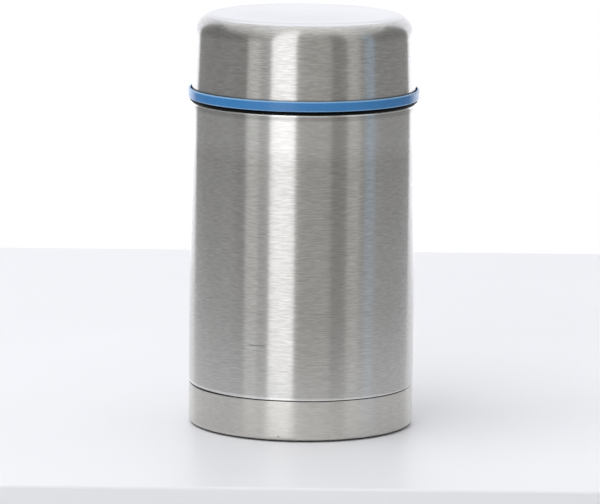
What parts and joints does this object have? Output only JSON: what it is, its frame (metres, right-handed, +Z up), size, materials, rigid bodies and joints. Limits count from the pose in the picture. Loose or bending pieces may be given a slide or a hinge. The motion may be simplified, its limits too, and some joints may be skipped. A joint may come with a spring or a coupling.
{
  "type": "insulated food jar",
  "caption": "Double-walled steel food jar with a screw-in vented stopper and a screw-on cup lid with a blue rim ring.",
  "frame": {"origin": "middle of the foot, on the table under the jar's axis", "axes": "+Z up the jar's axis, +X to the right in the picture, -Y towards the camera"},
  "size_m": [0.1002, 0.1002, 0.1805],
  "materials": {
    "brushed_steel": "fine brushing round the axis",
    "base_steel": "finer, paler brushing round the axis",
    "liner_steel": "drawn and electropolished, satin",
    "blue_plastic": "moulded, half gloss",
    "black_rubber": "moulded, smooth",
    "grey_plastic": "moulded, fine spark texture",
    "white_plastic": "moulded, smooth",
    "silicone": "moulded, translucent white",
    "foam": "closed-cell foam",
    "spring_steel": "drawn, bright",
    "braze": "flowed filler metal",
    "foil": "rolled, bright",
    "getter_metal": "pressed powder, dark"
  },
  "bodies": {
    "jar": {"outer_shell": "brushed_steel", "base_cup": "base_steel", "neck_gasket": "black_rubber", "inner_liner": "liner_steel", "liner_bottom": "liner_steel", "outer_bottom": "liner_steel", "seal_off_plug": "braze", "getter": "getter_metal", "getter_clip": "spring_steel", "radiation_foil": "foil"},
    "stopper_seal": {"stopper_gasket": "silicone"},
    "stopper": {"stopper_body": "grey_plastic", "stopper_cover": "grey_plastic", "stopper_base": "grey_plastic", "stopper_foam": "foam", "valve_spring": "spring_steel"},
    "valve": {"valve_button": "blue_plastic", "valve_stem": "white_plastic", "valve_disc": "grey_plastic", "valve_seal": "silicone", "valve_retainer": "spring_steel"},
    "cup_rim": {"cup_ring": "blue_plastic"},
    "cup": {"cup_shell": "brushed_steel", "cup_liner": "grey_plastic"}
  },
  "joints": [
    {"name": "stopper_lift", "type": "slide", "parent": "jar", "child": "stopper_seal", "axis": [0, 0, 1], "range_m": [0, 0.04]},
    {"name": "stopper_turn", "type": "hinge", "parent": "stopper_seal", "child": "stopper", "pos_m": [0, 0, 0.15], "axis": [0, 0, 1], "range_deg": [0, 360]},
    {"name": "valve_press", "type": "slide", "parent": "stopper", "child": "valve", "axis": [0, 0, -1], "range_m": [0, 0.0025], "stiffness_N_per_m": 600, "springref_m": -0.003, "deforming": ["valve_spring"]},
    {"name": "cup_lift", "type": "slide", "parent": "stopper_seal", "child": "cup_rim", "axis": [0, 0, 1], "range_m": [0, 0.06]},
    {"name": "cup_turn", "type": "hinge", "parent": "cup_rim", "child": "cup", "pos_m": [0, 0, 0.15], "axis": [0, 0, 1], "range_deg": [0, 360]}
  ]
}
